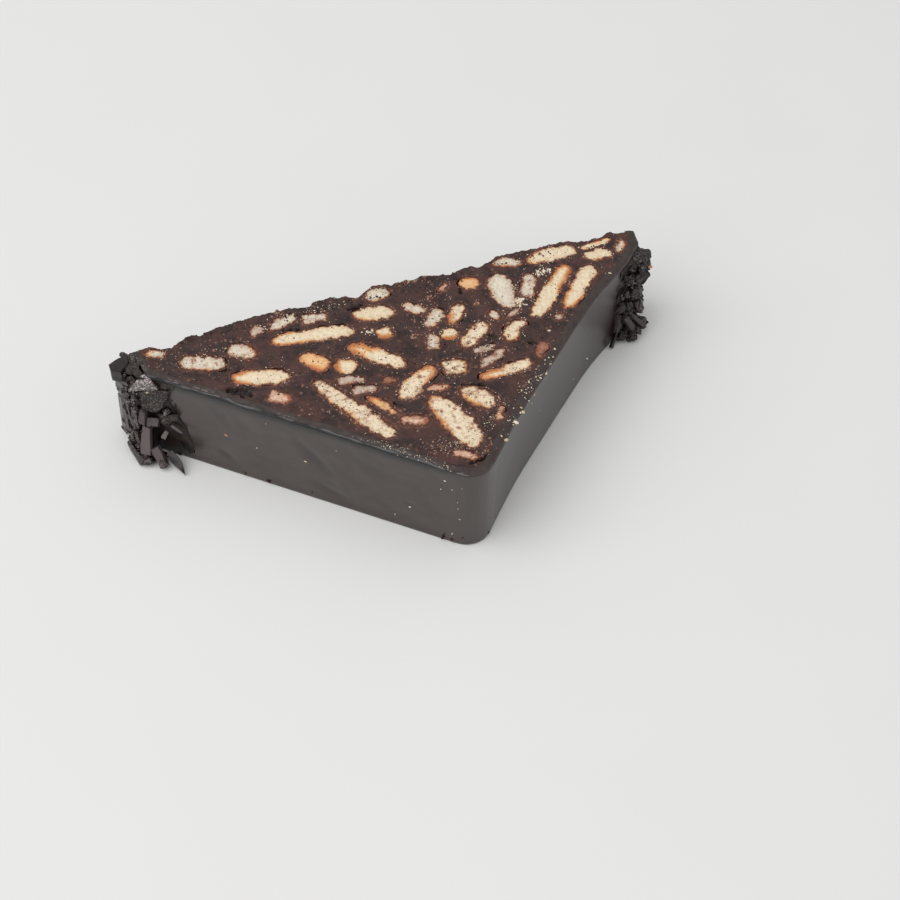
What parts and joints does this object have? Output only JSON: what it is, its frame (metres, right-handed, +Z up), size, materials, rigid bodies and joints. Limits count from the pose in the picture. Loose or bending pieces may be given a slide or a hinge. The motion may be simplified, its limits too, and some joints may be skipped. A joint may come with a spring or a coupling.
{
  "type": "chocolate log cake slice",
  "caption": "Thick triangular slice of a chocolate biscuit log cake, lying on a cut face, with a smooth ganache coat and chopped chocolate at its base corners.",
  "frame": {"origin": "centre of the bounding box at the lower cut face, which is the face the slice rests on", "axes": "+X along the log's base towards the blunt corner, +Y from the rounded ridge to the rough base, +Z up through the slice"},
  "size_m": [0.1469, 0.071, 0.0271],
  "materials": {
    "fudge": "knife-cut dark chocolate fudge with fine crumbs, satin to matt",
    "ganache": "set dark ganache, smooth and satin, with chopped chocolate flakes stuck to it",
    "biscuit": "dry pale crumb with a baked golden rim and dark specks"
  },
  "bodies": {
    "root": {"fudge_mass": "fudge", "ganache_coat": "ganache", "biscuit_01": "biscuit", "biscuit_02": "biscuit", "biscuit_03": "biscuit", "biscuit_04": "biscuit", "biscuit_05": "biscuit", "biscuit_06": "biscuit", "biscuit_07": "biscuit", "biscuit_08": "biscuit", "biscuit_09": "biscuit", "biscuit_10": "biscuit", "biscuit_11": "biscuit", "biscuit_12": "biscuit", "biscuit_13": "biscuit", "biscuit_14": "biscuit", "biscuit_15": "biscuit", "biscuit_16": "biscuit", "biscuit_17": "biscuit", "biscuit_18": "biscuit", "biscuit_19": "biscuit", "biscuit_20": "biscuit", "biscuit_21": "biscuit", "biscuit_22": "biscuit", "biscuit_23": "biscuit", "biscuit_24": "biscuit", "biscuit_25": "biscuit", "biscuit_26": "biscuit", "biscuit_27": "biscuit", "biscuit_28": "biscuit", "biscuit_29": "biscuit", "biscuit_30": "biscuit", "biscuit_31": "biscuit", "biscuit_32": "biscuit", "biscuit_33": "biscuit", "biscuit_34": "biscuit", "biscuit_35": "biscuit", "biscuit_36": "biscuit", "biscuit_37": "biscuit", "biscuit_38": "biscuit", "biscuit_39": "biscuit", "biscuit_40": "biscuit", "biscuit_41": "biscuit", "biscuit_42": "biscuit", "biscuit_43": "biscuit", "biscuit_44": "biscuit", "biscuit_45": "biscuit", "biscuit_46": "biscuit", "biscuit_47": "biscuit", "biscuit_48": "biscuit", "biscuit_49": "biscuit", "biscuit_50": "biscuit", "biscuit_51": "biscuit", "biscuit_52": "biscuit", "biscuit_53": "biscuit"}
  },
  "joints": []
}
